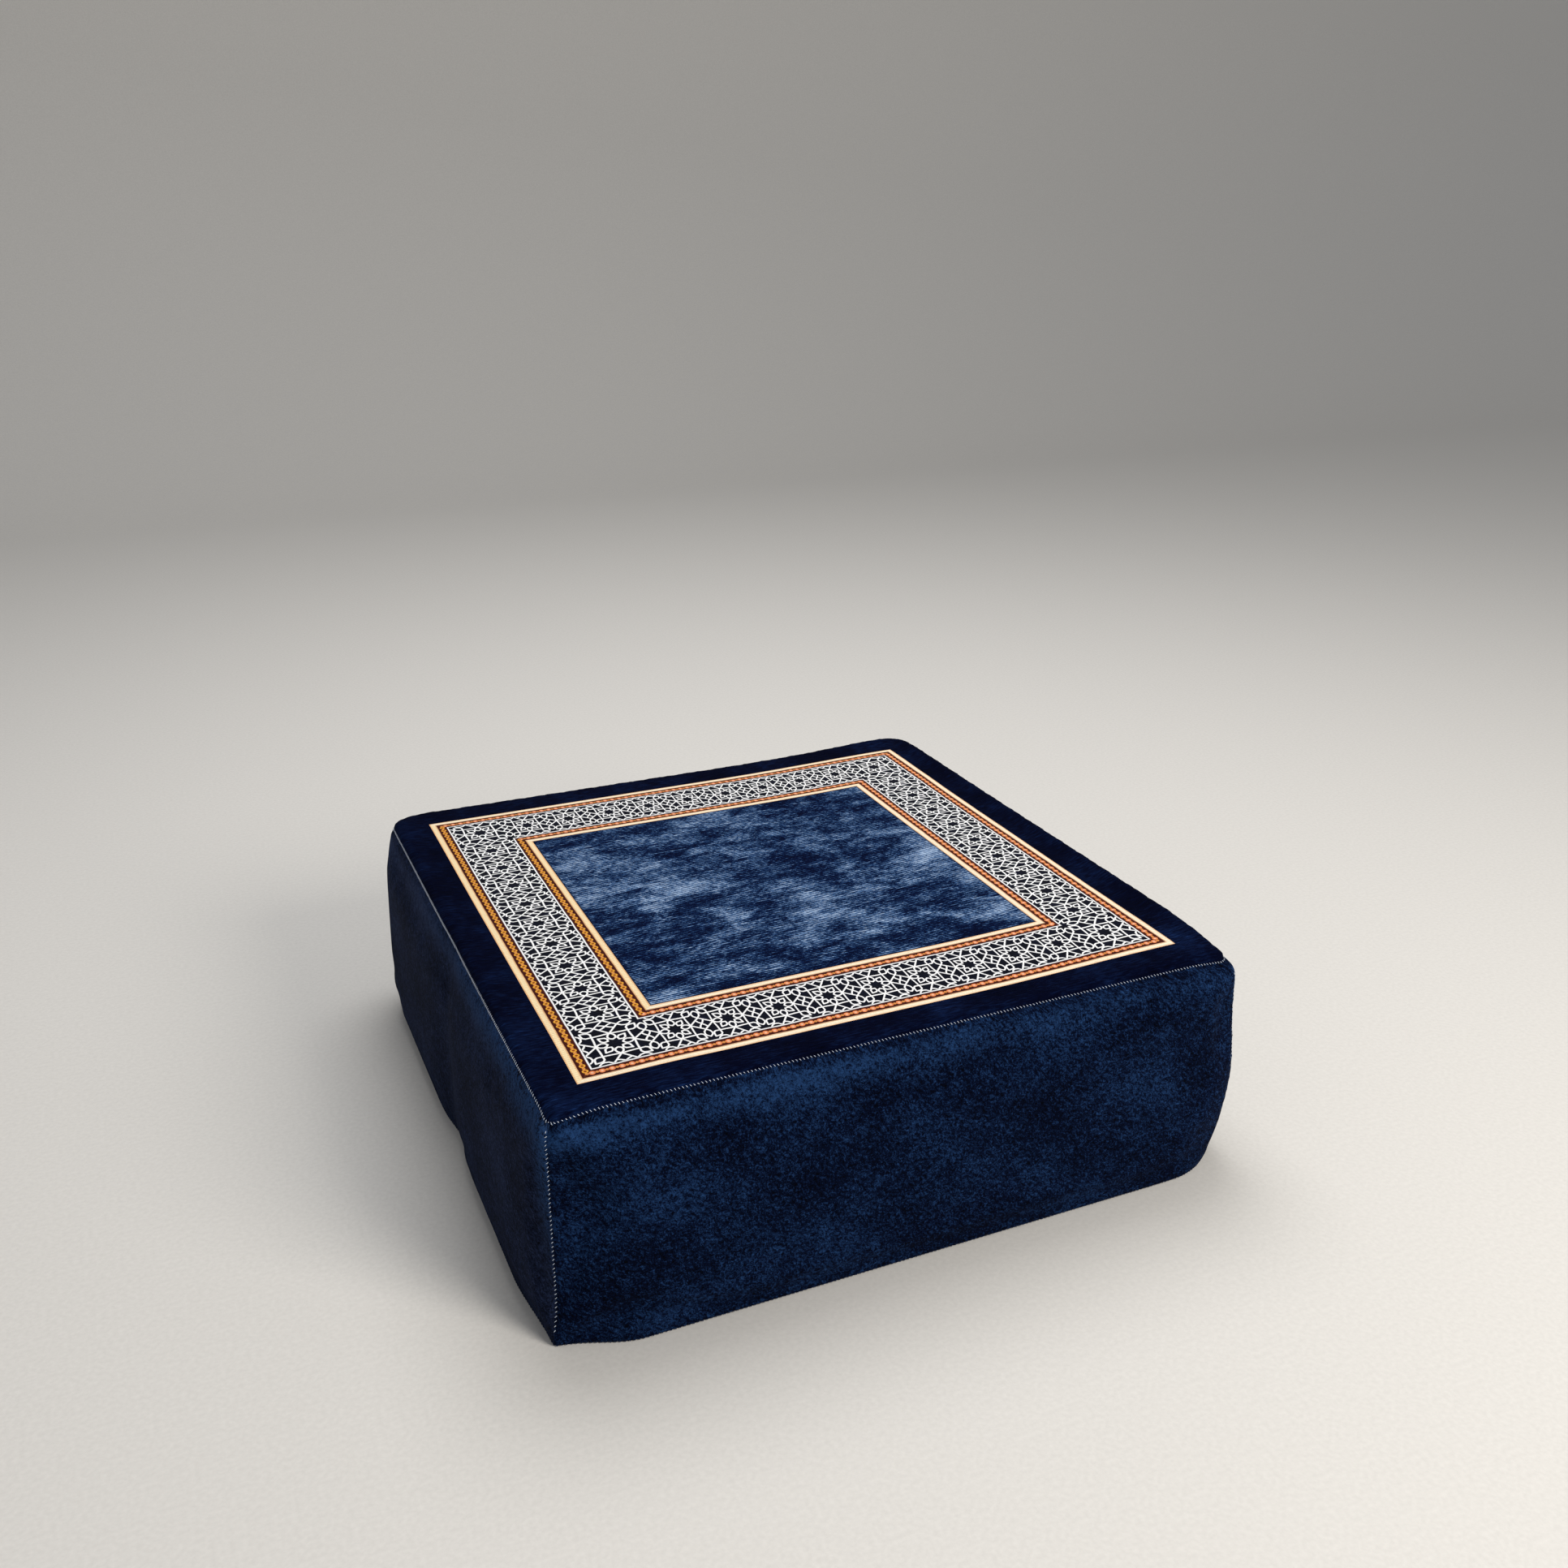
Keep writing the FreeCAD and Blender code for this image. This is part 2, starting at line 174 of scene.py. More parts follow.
def shift_print(x, y, edge):
    """Moves the print's four corners to where they are sewn, and what lies between them evenly."""
    u = np.clip(x / PRINT_HALF, -1, 1)
    v = np.clip(y / PRINT_HALF, -1, 1)
    fade = smooth(edge, 0, HALF - PRINT_HALF)
    for (sign_x, sign_y), (move_x, move_y) in PRINT_SHIFTS.items():
        weight = (1 + sign_x * u) * (1 + sign_y * v) / 4 * fade
        x = x + weight * move_x
        y = y + weight * move_y
    return x, y


def top_drop(x, y):
    """How far the top drops towards its corners, less along the raised right edge."""
    near = np.minimum(np.abs(x), np.abs(y)) / HALF
    edge = HALF - np.maximum(np.abs(x), np.abs(y))
    at_seam = 1 - smooth(edge, 0, DROP_REACH)
    front_left = (x < 0) & (y < 0)
    shallow = SHALLOW_DROP * smooth(near, 0.60, 0.90) * (1 - smooth(edge, 0.04, 0.12))
    front = FRONT_LEFT_DROP * smooth(near, 0.84, 1.0)
    deep = np.where(front_left, front, CORNER_DROP * smooth(near, 0.86, 1.0))
    raised = RIGHT_RISE * smooth(x / HALF, 0.5, 1) * smooth(y / HALF, -0.97, -0.70) * at_seam
    return np.where(front_left, shallow, 0) + deep * at_seam - raised


def top_points():
    """Top panel: nearly flat, crowned a little and rolled down to its seam."""
    x, y = np.meshgrid(COLUMNS, COLUMNS, indexing="ij")
    edge = HALF - np.maximum(np.abs(x), np.abs(y))
    crown = TOP_CROWN * np.cos(np.pi * x / 2 / HALF) * np.cos(np.pi * y / 2 / HALF)
    roll = TOP_ROLL * quarter_round(edge, ROLL_REACH)
    lift = LIFT_RIGHT * smooth(x / HALF, 0.2, 0.9) + LIFT_BACK * smooth(y / HALF, 0.2, 0.9)
    z = SEAM_HEIGHT + crown + roll + lift * quarter_round(edge, LIFT_REACH) - top_drop(x, y)
    x, y = round_corners(x, y, HALF, HALF, plan_radius(x, y, np.full_like(x, SEAM_HEIGHT)))
    x, y = shift_print(x, y, edge)
    return np.stack([x, y, z], -1)


def base_points():
    """Base panel: flat on the floor, stretched out to meet the foot of each wall."""
    x, y = np.meshgrid(COLUMNS, COLUMNS, indexing="ij")
    floor = np.zeros_like(x)
    half_x = HALF + np.where(x > 0, wall_offset("right", y, floor), wall_offset("left", -y, floor))
    half_y = HALF + np.where(y > 0, wall_offset("back", -x, floor), wall_offset("front", x, floor))
    radius = plan_radius(x, y, floor)
    x, y = round_corners(x * half_x / HALF, y * half_y / HALF, half_x, half_y, radius)
    return np.stack([x, y, np.full_like(x, BASE_HEIGHT)], -1)


def wall_offset(side, along, level):
    """How far a wall stands outside the square of the top seam."""
    left, middle, right = WALL_SWELL[side]
    share = along / HALF
    swell = left + (middle - left) * smooth(share, -1, -0.78) + (right - middle) * smooth(share, 0.70, 1)
    if side == "left":
        swell = swell - LEFT_TUCK * np.exp(-(((share - TUCK_PLACE) / TUCK_WIDTH) ** 2))
    top_swell = TOP_SWELL + SWELL_SHARE * swell
    shoulder = top_swell * quarter_round(SEAM_HEIGHT - level, SHOULDER)
    lower = (swell - top_swell) * smooth(SEAM_HEIGHT - level, *SWELL_DEPTHS)
    foot = FOOT_TURN * (1 - quarter_round(level, FOOT_RADIUS))
    return shoulder + lower - foot


FLAT_HALF_HEIGHT = 0.050  # the back wall's flat for the zip, with the widths over which it fades
FLAT_HALF_LENGTH = 0.285
FLAT_FADES = (0.028, 0.030)


def zip_hold(along, level):
    """1 where the back wall is kept flat for the zip, 0 away from it."""
    across = smooth(FLAT_HALF_HEIGHT - np.abs(level - ZIP_HEIGHT), 0, FLAT_FADES[0])
    return across * smooth(FLAT_HALF_LENGTH - np.abs(along), 0, FLAT_FADES[1])


def side_points(side):
    """One wall, columns by levels, from its left end to its right end seen from outside."""
    along, level = np.meshgrid(COLUMNS, LEVELS, indexing="ij")
    own = wall_offset(side, along, level)
    if side == "back":
        own = own + (ZIP_SKIN - HALF - own) * zip_hold(along, level)
    order = SIDES.index(side)
    before = SIDES[order - 1]
    after = SIDES[(order + 1) % 4]
    cos, sin = ((1, 0), (0, 1), (-1, 0), (0, -1))[order]
    ends = np.full_like(along, HALF)
    neighbour = np.where(along < 0, wall_offset(before, ends, level), wall_offset(after, -ends, level))
    x = along * (HALF + neighbour) / HALF
    y = -(HALF + own)
    world_x = along * cos + HALF * sin
    world_y = along * sin - HALF * cos
    x, y = round_corners(x, y, HALF + neighbour, HALF + own, plan_radius(world_x, world_y, level))
    z = level + BASE_HEIGHT * (1 - level / SEAM_HEIGHT)
    z = z - top_drop(world_x, world_y) * smooth(level, SEAM_HEIGHT - 0.07, SEAM_HEIGHT)
    return np.stack([x * cos - y * sin, x * sin + y * cos, z], -1)


def top_region(x, y):
    """The piece of the top that a point belongs to."""
    if max(abs(x), abs(y)) > PRINT_HALF:
        return "top_margin"
    if max(abs(x), abs(y)) < FIELD_HALF:
        return "top_field_" + ("back" if y > 0 else "front") + ("_right" if x > 0 else "_left")
    if abs(y) > FIELD_HALF:
        third = "left" if x < -STRIP_CUT else "right" if x > STRIP_CUT else "middle"
        return "top_border_" + ("back_" if y > 0 else "front_") + third
    return "top_border_" + ("right_" if x > 0 else "left_") + ("back" if y > 0 else "front")


def wall_region(side, along, level):
    if side != "back":
        return side + "_panel"
    if abs(along) < SLOT_HALF_LENGTH and abs(level - ZIP_HEIGHT) < SLOT_HALF_HEIGHT:
        return "slot"
    return "back_upper" if level > ZIP_HEIGHT else "back_lower"


class Cover:
    """The closed cover: points, quads, the region and flat cloth coordinates of each quad."""

    def __init__(self):
        self.points = []
        self.seam = []  # distance of each point to its nearest seam, along the cloth
        self.quads = []
        self.regions = []
        self.cloth = []
        self.rings = {"top": [], "base": []}
        self.index = {}
        self.add_caps()
        for side in SIDES:
            self.add_wall(side)
        self.points = np.array(self.points)
        self.seam = np.array(self.seam)

    def add_point(self, key, place, seam):
        self.index[key] = len(self.points)
        self.points.append(place)
        self.seam.append(seam)

    def add_caps(self):
        top, base = top_points(), base_points()
        for i in range(LAST + 1):
            for j in range(LAST + 1):
                edge = HALF - max(abs(COLUMNS[i]), abs(COLUMNS[j]))
                self.add_point(("top", i, j), top[i, j], edge)
                self.add_point(("base", i, j), base[i, j], edge)
        for i in range(LAST):
            for j in range(LAST):
                ring = [(i, j), (i + 1, j), (i + 1, j + 1), (i, j + 1)]
                places = [(COLUMNS[a], COLUMNS[b]) for a, b in ring]
                x = (COLUMNS[i] + COLUMNS[i + 1]) / 2
                y = (COLUMNS[j] + COLUMNS[j + 1]) / 2
                self.add_quad([self.index["top", a, b] for a, b in ring], top_region(x, y), places)
                under = [self.index["base", a, b] for a, b in ring[::-1]]
                self.add_quad(under, "base_panel", places[::-1])

    def add_quad(self, ids, region, places):
        self.quads.append(ids)
        self.regions.append(region)
        self.cloth.extend(places)

    def add_wall(self, side):
        starts = ((0, 0, 1, 0), (LAST, 0, 0, 1), (LAST, LAST, -1, 0), (0, LAST, 0, -1))
        i0, j0, di, dj = starts[SIDES.index(side)]
        wall = side_points(side)
        ids = np.zeros((LAST + 1, TOP_LEVEL + 1), int)
        for c in range(LAST + 1):
            i, j = i0 + di * c, j0 + dj * c
            for k in range(1, TOP_LEVEL):
                if ("wall", i, j, k) not in self.index:
                    to_end = HALF - abs(COLUMNS[c])
                    seam = min(SEAM_HEIGHT - LEVELS[k], LEVELS[k] + 0.004, to_end)
                    self.add_point(("wall", i, j, k), wall[c, k], seam)
                ids[c, k] = self.index["wall", i, j, k]
            ids[c, 0] = self.index["base", i, j]
            ids[c, TOP_LEVEL] = self.index["top", i, j]
        self.rings["top"] += list(ids[:-1, TOP_LEVEL])
        self.rings["base"] += list(ids[:-1, 0])
        self.rings[side] = list(ids[0])
        for c in range(LAST):
            for k in range(TOP_LEVEL):
                ring = [(c, k), (c + 1, k), (c + 1, k + 1), (c, k + 1)]
                places = [(COLUMNS[a], LEVELS[b]) for a, b in ring]
                along = (COLUMNS[c] + COLUMNS[c + 1]) / 2
                level = (LEVELS[k] + LEVELS[k + 1]) / 2
                self.add_quad([ids[a, b] for a, b in ring], wall_region(side, along, level), places)


def mesh_object(name, points, faces, cloth=None):
    mesh = bpy.data.meshes.new(name)
    mesh.from_pydata([tuple(p) for p in points], [], [list(map(int, f)) for f in faces])
    if cloth is not None:
        layer = mesh.uv_layers.new(name="cloth")
        layer.data.foreach_set("uv", np.array(cloth, np.float32).ravel())
    mesh.polygons.foreach_set("use_smooth", np.ones(len(mesh.polygons), bool))
    obj = bpy.data.objects.new(name, mesh)
    bpy.context.scene.collection.objects.link(obj)
    return obj


def read(collection, attribute, width):
    """A mesh collection's values as rows of the given width."""
    values = np.zeros(len(collection) * width, np.float32)
    collection.foreach_get(attribute, values)
    return values.reshape(-1, width).astype(float)


def evaluated_points(obj):
    return read(obj.evaluated_get(bpy.context.evaluated_depsgraph_get()).data.vertices, "co", 3)


def held_weights(points):
    """1 where the cover is kept still while it swells: under it and round the zip."""
    under = 1 - smooth(points[:, 2], 0.004, 0.022)
    back = smooth(points[:, 1], 0.285, 0.295) * zip_hold(points[:, 0], points[:, 2])
    return np.maximum(under, back)


SWELL_FRAMES = 20
SWELL_LIMIT = 0.0050
CLOTH_SETTINGS = {
    "quality": 5, "mass": 0.3, "tension_stiffness": 40, "compression_stiffness": 25,
    "shear_stiffness": 8, "bending_stiffness": 0.5, "use_pressure": True, "uniform_pressure_force": 3,
    "vertex_group_mass": "held", "vertex_group_shrink": "drawn", "shrink_min": -0.004, "shrink_max": 0.010,
}
DRAWN_REACH = 0.010  # how far from a seam the cloth is drawn in


def swell(obj, seam):
    """Fills the cover by a short cloth simulation under pressure, its seams drawn in."""
    before = evaluated_points(obj)
    held = held_weights(before)
    drawn = np.exp(-((seam / DRAWN_REACH) ** 2))
    for name, weights in (("held", held), ("drawn", drawn)):
        group = obj.vertex_groups.new(name=name)
        for i, weight in enumerate(weights):
            if weight > 0.01:
                group.add([i], float(weight), "REPLACE")
    modifier = obj.modifiers.new("swell", "CLOTH")
    for name, value in CLOTH_SETTINGS.items():
        setattr(modifier.settings, name, value)
    modifier.settings.effector_weights.gravity = 0
    modifier.collision_settings.use_collision = False
    for number in range(1, SWELL_FRAMES + 1):
        bpy.context.scene.frame_set(number)
    moved = evaluated_points(obj) - before
    obj.modifiers.remove(modifier)
    bpy.context.scene.frame_set(1)
    length = np.linalg.norm(moved, axis=1)
    limit = SWELL_LIMIT * (1 - held)
    moved *= (np.minimum(length, limit) / np.maximum(length, 1e-9))[:, None]
    on_top = smooth(before[:, 2], SEAM_HEIGHT - 0.006, SEAM_HEIGHT + 0.002)
    moved[:, :2] *= (1 - 0.95 * on_top)[:, None]
    moved[:, 2] = np.maximum(moved[:, 2], -0.0005) * (1 - 0.85 * on_top)
    obj.data.vertices.foreach_set("co", (before + moved).astype(np.float32).ravel())
    obj.data.update()


def ripple(distance, waves):
    """A sum of sine waves along a seam, each a (wavelength, size, phase)."""
    return sum(size * np.sin(2 * np.pi * distance / length + phase) for length, size, phase in waves)


PUCKERS = ((0.0071, 0.32, 0.3), (0.0113, 0.42, 1.9), (0.0187, 0.40, 4.4), (0.0410, 0.45, 2.2))
GROOVE_DEPTH = 0.0016
GROOVE_WIDTH = 0.0028
GATHER_HEIGHT = 0.00055  # the puckers beside a seam, and where they start and fade
GATHER_START = 0.002
GATHER_FADE = 0.011
CORNER_BAND = 0.022  # what counts as an upright corner seam's surroundings
CORNER_ENDS = 0.02


def sew(points, normals, seam):
    """Draws the cloth in along its seams and gathers it beside them."""
    x, y, z = points.T
    upright = (np.abs(np.abs(x) - HALF) < CORNER_BAND) & (np.abs(np.abs(y) - HALF) < CORNER_BAND)
    upright &= (z > CORNER_ENDS) & (z < SEAM_HEIGHT - CORNER_ENDS)
    run = np.where(upright, z, np.where(np.abs(y) > np.abs(x), x + 0.004 * np.sign(y), y))
    groove = -GROOVE_DEPTH * np.exp(-((seam / GROOVE_WIDTH) ** 2))
    beside = np.exp(-seam / GATHER_FADE) * (1 - np.exp(-seam / GATHER_START))
    gather = GATHER_HEIGHT * ripple(run, PUCKERS) * beside
    keep = 1 - held_weights(points) * 0.9
    return points + normals * ((groove + gather) * keep)[:, None]


# dents and bulges where the three cloths meet at the front left corner: place, radius, height
CORNER_DENTS = (
    ((-0.2985, -0.2985, 0.1890), 0.0055, -0.0100),
    ((-0.2860, -0.3020, 0.1825), 0.0090, 0.0035),
    ((-0.3020, -0.2860, 0.1830), 0.0080, 0.0025),
    ((-0.2860, -0.2930, 0.1960), 0.0070, 0.0015),
)


def dent(points, normals):
    """Pinches the front left corner under the seam and lets the cloth bulge beside it."""
    for place, radius, height in CORNER_DENTS:
        gap = np.linalg.norm(points - np.array(place), axis=1)
        points = points + normals * (height * np.exp(-((gap / radius) ** 2)))[:, None]
    return points


def subdivide(obj):
    """A new mesh: the object's own with one subdivision applied."""
    obj.modifiers.new("finer", "SUBSURF").levels = 1
    obj.modifiers[-1].boundary_smooth = "PRESERVE_CORNERS"
    obj.modifiers[-1].uv_smooth = "NONE"
    return bpy.data.meshes.new_from_object(obj.evaluated_get(bpy.context.evaluated_depsgraph_get()))


class Skin:
    """The finished cover surface as arrays, cut into pieces later."""

    def __init__(self):
        cover = Cover()
        obj = mesh_object("cover_whole", cover.points, cover.quads, cover.cloth)
        names = sorted(set(cover.regions))
        obj.data.polygons.foreach_set("material_index", [names.index(r) for r in cover.regions])
        attribute = obj.data.attributes.new("seam", "FLOAT", "POINT")
        attribute.data.foreach_set("value", cover.seam.astype(np.float32))
        for name in names:
            obj.data.materials.append(bpy.data.materials.new("region_" + name))
        swell(obj, cover.seam)
        cage = read(obj.data.vertices, "co", 3)
        self.rings = {name: cage[ids] for name, ids in cover.rings.items()}
        mesh = subdivide(obj)
        seam = np.zeros(len(mesh.vertices), np.float32)
        mesh.attributes["seam"].data.foreach_get("value", seam)
        points = read(mesh.vertices, "co", 3)
        normals = read(mesh.vertex_normals, "vector", 3)
        points = dent(sew(points, normals, seam), normals)
        mesh.vertices.foreach_set("co", points.astype(np.float32).ravel())
        mesh.update()
        self.points = points
        self.normals = read(mesh.vertex_normals, "vector", 3)
        self.quads = read(mesh.loops, "vertex_index", 1).astype(int).reshape(-1, 4)
        self.cloth = read(mesh.uv_layers["cloth"].data, "uv", 2).reshape(-1, 4, 2)
        region = read(mesh.polygons, "material_index", 1).astype(int).ravel()
        self.regions = {name: np.flatnonzero(region == k) for k, name in enumerate(names)}
        self.surface = BVHTree.FromPolygons([tuple(p) for p in points], self.quads.tolist())
        bpy.data.objects.remove(obj)
        bpy.data.meshes.remove(mesh)
        for name in names:
            bpy.data.materials.remove(bpy.data.materials["region_" + name])

    def piece(self, name, region):
        """One cut piece of the cover, lit as part of the whole surface and hemmed at the zip slot."""
        chosen = self.quads[self.regions[region]]
        used, local = np.unique(chosen, return_inverse=True)
        faces = local.reshape(-1, 4)
        points, normals = self.points[used], self.normals[used]
        cloth = self.cloth[self.regions[region]]
        if region.startswith("back_"):
            points, normals, faces, cloth = self.hem(used, points, normals, faces, cloth)
        obj = mesh_object(name, points, faces, cloth.reshape(-1, 2))
        obj.data.normals_split_custom_set_from_vertices(normals.tolist())
        return obj

    def hem(self, used, points, normals, faces, cloth):
        """Turns the cloth in at the slot's edge and back under itself."""
        in_slot = np.isin(used, self.quads[self.regions["slot"]])
        rim = [
            (face[k], face[(k + 1) % 4], quad[k], quad[(k + 1) % 4])
            for face, quad in zip(faces, cloth) for k in range(4)
            if in_slot[face[k]] and in_slot[face[(k + 1) % 4]]
        ]
        edge = sorted({v for start, end, _, _ in rim for v in (start, end)})
        away = np.zeros((len(edge), 3))
        away[:, 0] = np.sign(points[edge, 0]) * (np.abs(points[edge, 0]) > SLOT_HALF_LENGTH - 0.001)
        above = points[edge, 2] - ZIP_HEIGHT
        away[:, 2] = np.sign(above) * (np.abs(above) > SLOT_HALF_HEIGHT * 0.8)
        turned = points[edge] - normals[edge] * HEM_DEPTH
        tucked = turned + away * HEM_WIDTH
        first = {v: len(points) + k for k, v in enumerate(edge)}
        second = {v: k + len(edge) for v, k in first.items()}
        strips, flat = [], []
        for start, end, uv_start, uv_end in rim:
            strips.append((end, start, first[start], first[end]))
            strips.append((first[end], first[start], second[start], second[end]))
            flat += [(uv_end, uv_start, uv_start, uv_end)] * 2
        return (
            np.vstack([points, turned, tucked]),
            np.vstack([normals, -away, -normals[edge]]),
            np.vstack([faces, strips]),
            np.vstack([cloth, flat]),
        )

    def nearest(self, place):
        """The surface point nearest to a place, and the outward direction there."""
        where, normal, _, _ = self.surface.find_nearest(Vector(place))
        return np.array(where), np.array(normal)


# -------- materials


def colour(code):
    """Linear colour of a #rrggbb code."""
    channels = [int(code[k:k + 2], 16) / 255 for k in (1, 3, 5)]
    return tuple(c / 12.92 if c <= 0.04045 else ((c + 0.055) / 1.055) ** 2.4 for c in channels) + (1,)


def operator(operation, swapped=False):
    """An arithmetic method of Signal, which adds a Math node."""

    def method(self, other):
        values = (other, self) if swapped else (self, other)
        return self.graph.math(operation, *values)

    return method


class Signal:
    """A node's output; arithmetic on it adds Math nodes."""

    __add__ = __radd__ = operator("ADD")
    __sub__ = operator("SUBTRACT")
    __rsub__ = operator("SUBTRACT", swapped=True)
    __mul__ = operator("MULTIPLY")
    __truediv__ = operator("DIVIDE")

    def __init__(self, graph, socket):
        self.graph = graph
        self.socket = socket

    def __abs__(self):
        return self.graph.math("ABSOLUTE", self)

    def fold(self):
        """Distance to the nearest whole number."""
        return abs(self - self.graph.math("ROUND", self))


class Graph:
    """Builds one Principled material, a node at a time."""

    def __init__(self, name, roughness=0.85, sheen=0.0, tint="#8fa6cf", specular=0.25, metallic=0.0):
        self.material = bpy.data.materials.new(name)
        self.material.use_nodes = True
        self.tree = self.material.node_tree
        self.shader = self.tree.nodes["Principled BSDF"]
        self.fill(self.shader, Roughness=roughness, Metallic=metallic, Specular_IOR_Level=specular)
        self.fill(self.shader, Sheen_Weight=sheen, Sheen_Roughness=0.4, Sheen_Tint=colour(tint))

    def node(self, kind, **settings):
        made = self.tree.nodes.new(kind)
        for name, value in settings.items():
            setattr(made, name, value)
        return made

    def feed(self, value, socket):
        if isinstance(value, Signal):
            self.tree.links.new(value.socket, socket)
        else:
            socket.default_value = value

    def fill(self, made, **values):
        """Feeds inputs by name, with an underscore for each space."""
        for name, value in values.items():
            self.feed(value, made.inputs[name.replace("_", " ")])

    def join(self, made, *values):
        for value, socket in zip(values, made.inputs):
            self.feed(value, socket)
        return Signal(self, made.outputs[0])

    def math(self, operation, *values, clamp=False):
        return self.join(self.node("ShaderNodeMath", operation=operation, use_clamp=clamp), *values)

    def length(self, *parts):
        """Length of the vector with these parts."""
        made = self.node("ShaderNodeVectorMath", operation="LENGTH")
        self.feed(self.vector(*parts), made.inputs[0])
        return Signal(self, made.outputs["Value"])

    def split(self, socket):
        made = self.node("ShaderNodeSeparateXYZ")
        self.tree.links.new(socket, made.inputs[0])
        return [Signal(self, output) for output in made.outputs]

    def cloth(self):
        """The flat cloth's two coordinates, in metres."""
        return self.split(self.node("ShaderNodeUVMap", uv_map="cloth").outputs[0])[:2]

    def place(self):
        """The object's own coordinates, in metres."""
        return self.split(self.node("ShaderNodeTexCoord").outputs["Object"])

    def vector(self, x, y, z=0.0):
        return self.join(self.node("ShaderNodeCombineXYZ"), x, y, z)

    def noise(self, vector, scale, detail=2.0, rough=0.55, warp=0.0):
        made = self.node("ShaderNodeTexNoise")
        self.fill(made, Vector=vector, Scale=scale, Detail=detail, Roughness=rough, Distortion=warp)
        return Signal(self, made.outputs["Fac"])

    def step(self, value, low, high):
        """Smooth step from 0 at low to 1 at high; high may be below low."""
        made = self.node("ShaderNodeMapRange", interpolation_type="SMOOTHSTEP")
        rises = low < high
        self.fill(made, Value=value, From_Min=min(low, high), From_Max=max(low, high))
        self.fill(made, To_Min=1.0 - rises, To_Max=float(rises))
        return Signal(self, made.outputs["Result"])

    def mix(self, share, first, second):
        made = self.node("ShaderNodeMix", data_type="RGBA")
        self.feed(share, made.inputs[0])
        self.feed(first if isinstance(first, Signal) else colour(first), made.inputs[6])
        self.feed(second if isinstance(second, Signal) else colour(second), made.inputs[7])
        return Signal(self, made.outputs[2])

    def ramp(self, value, stops):
        """Colour ramp through (position, code) stops."""
        made = self.node("ShaderNodeValToRGB")
        self.feed(value, made.inputs[0])
        elements = made.color_ramp.elements
        while len(elements) < len(stops):
            elements.new(0.5)
        for element, (position, code) in zip(elements, stops):
            element.position = position
            element.color = colour(code)
        return Signal(self, made.outputs[0])

    def wave(self, value, pitch):
        """A sine wave of the given pitch, between 0 and 1."""
        return self.math("SINE", value * (2 * math.pi / pitch)) * 0.5 + 0.5

    def least(self, *values):
        found = values[0]
        for value in values[1:]:
            found = self.math("MINIMUM", found, value)
        return found

    def finish(self, base, height=None, depth=0.0004, roughness=None):
        """Connects the colour, a bump of the given depth and a roughness."""
        self.feed(base, self.shader.inputs["Base Color"])
        if height is not None:
            bump = self.node("ShaderNodeBump")
            self.feed(height, bump.inputs["Height"])
            bump.inputs["Distance"].default_value = depth
            bump.inputs["Strength"].default_value = 1.0
            self.tree.links.new(bump.outputs[0], self.shader.inputs["Normal"])
        if roughness is not None:
            self.feed(roughness, self.shader.inputs["Roughness"])
        return self.material


# the lattice's lines in one cell, as runs of points folded into the triangle 0 <= v <= u <= 0.5
LATTICE_LINES = (
    ((0.29, 0), (0.24, 0.045), (0.19, 0.060), (0.145, 0.045), (0.115, 0)),
    ((0.202, 0.202), (0.186, 0.11), (0.145, 0.076), (0.085, 0.085)),
    ((0.29, 0), (0.277, 0.16), (0.275, 0.275)),
    ((0.29, 0), (0.5, 0.175)),
    ((0.434, 0.10), (0.455, 0.055), (0.5, 0)),
    ((0.5, 0.175), (0.445, 0.235), (0.43, 0.30), (0.45, 0.35), (0.5, 0.39)),
    ((0.275, 0.275), (0.36, 0.273), (0.40, 0.30), (0.412, 0.345), (0.418, 0.418)),
)
LATTICE_CELLS = 9
LATTICE_INNER = FIELD_HALF + STRIPES
LATTICE_PITCH = 2 * LATTICE_INNER / LATTICE_CELLS
LATTICE_LINE = 0.0148  # half a line's width and its soft edge, in cells
LINE_SOFT = 0.004


def lattice_distance(graph, x, y):
    """Distance to the nearest lattice line, in cells."""
    folded = []
    for value in (abs(x), abs(y)):
        beyond = graph.math("GREATER_THAN", value, LATTICE_INNER)
        inside = value / LATTICE_PITCH
        outside = (value - (LATTICE_INNER + LATTICE / 2)) / LATTICE
        cell = inside + (outside - inside) * beyond
        folded.append(cell.fold())
    u = graph.math("MAXIMUM", *folded)
    v = graph.math("MINIMUM", *folded)
    distances = []
    for run in LATTICE_LINES:
        for start, end in zip(run, run[1:]):
            span_u, span_v = end[0] - start[0], end[1] - start[1]
            arm_u, arm_v = u - start[0], v - start[1]
            inverse = 1 / (span_u ** 2 + span_v ** 2)
            share = graph.math("MULTIPLY", arm_u * span_u + arm_v * span_v, inverse, clamp=True)
            distances.append(graph.length(arm_u - share * span_u, arm_v - share * span_v))
    return graph.least(*distances)


# the stripes' edges, in from the print's outer edge or out from the field's
CREAM_END = 0.0058
CREAM_MIDDLE = 0.0029
BEADS = (0.0076, 0.0130)
WHITE = (0.0148, STRIPES)
BEAD_PITCH = 0.0077
# the outer and inner radius of each soft edge
BEAD = (0.0028, 0.0022)
BEAD_CORE = (0.0015, 0.0009)
LINK = (0.0016, 0.0011)
STRAND = (0.0008, 0.0003)
STRIPE_SOFT = 0.00035
RIB_PITCH = 0.0027


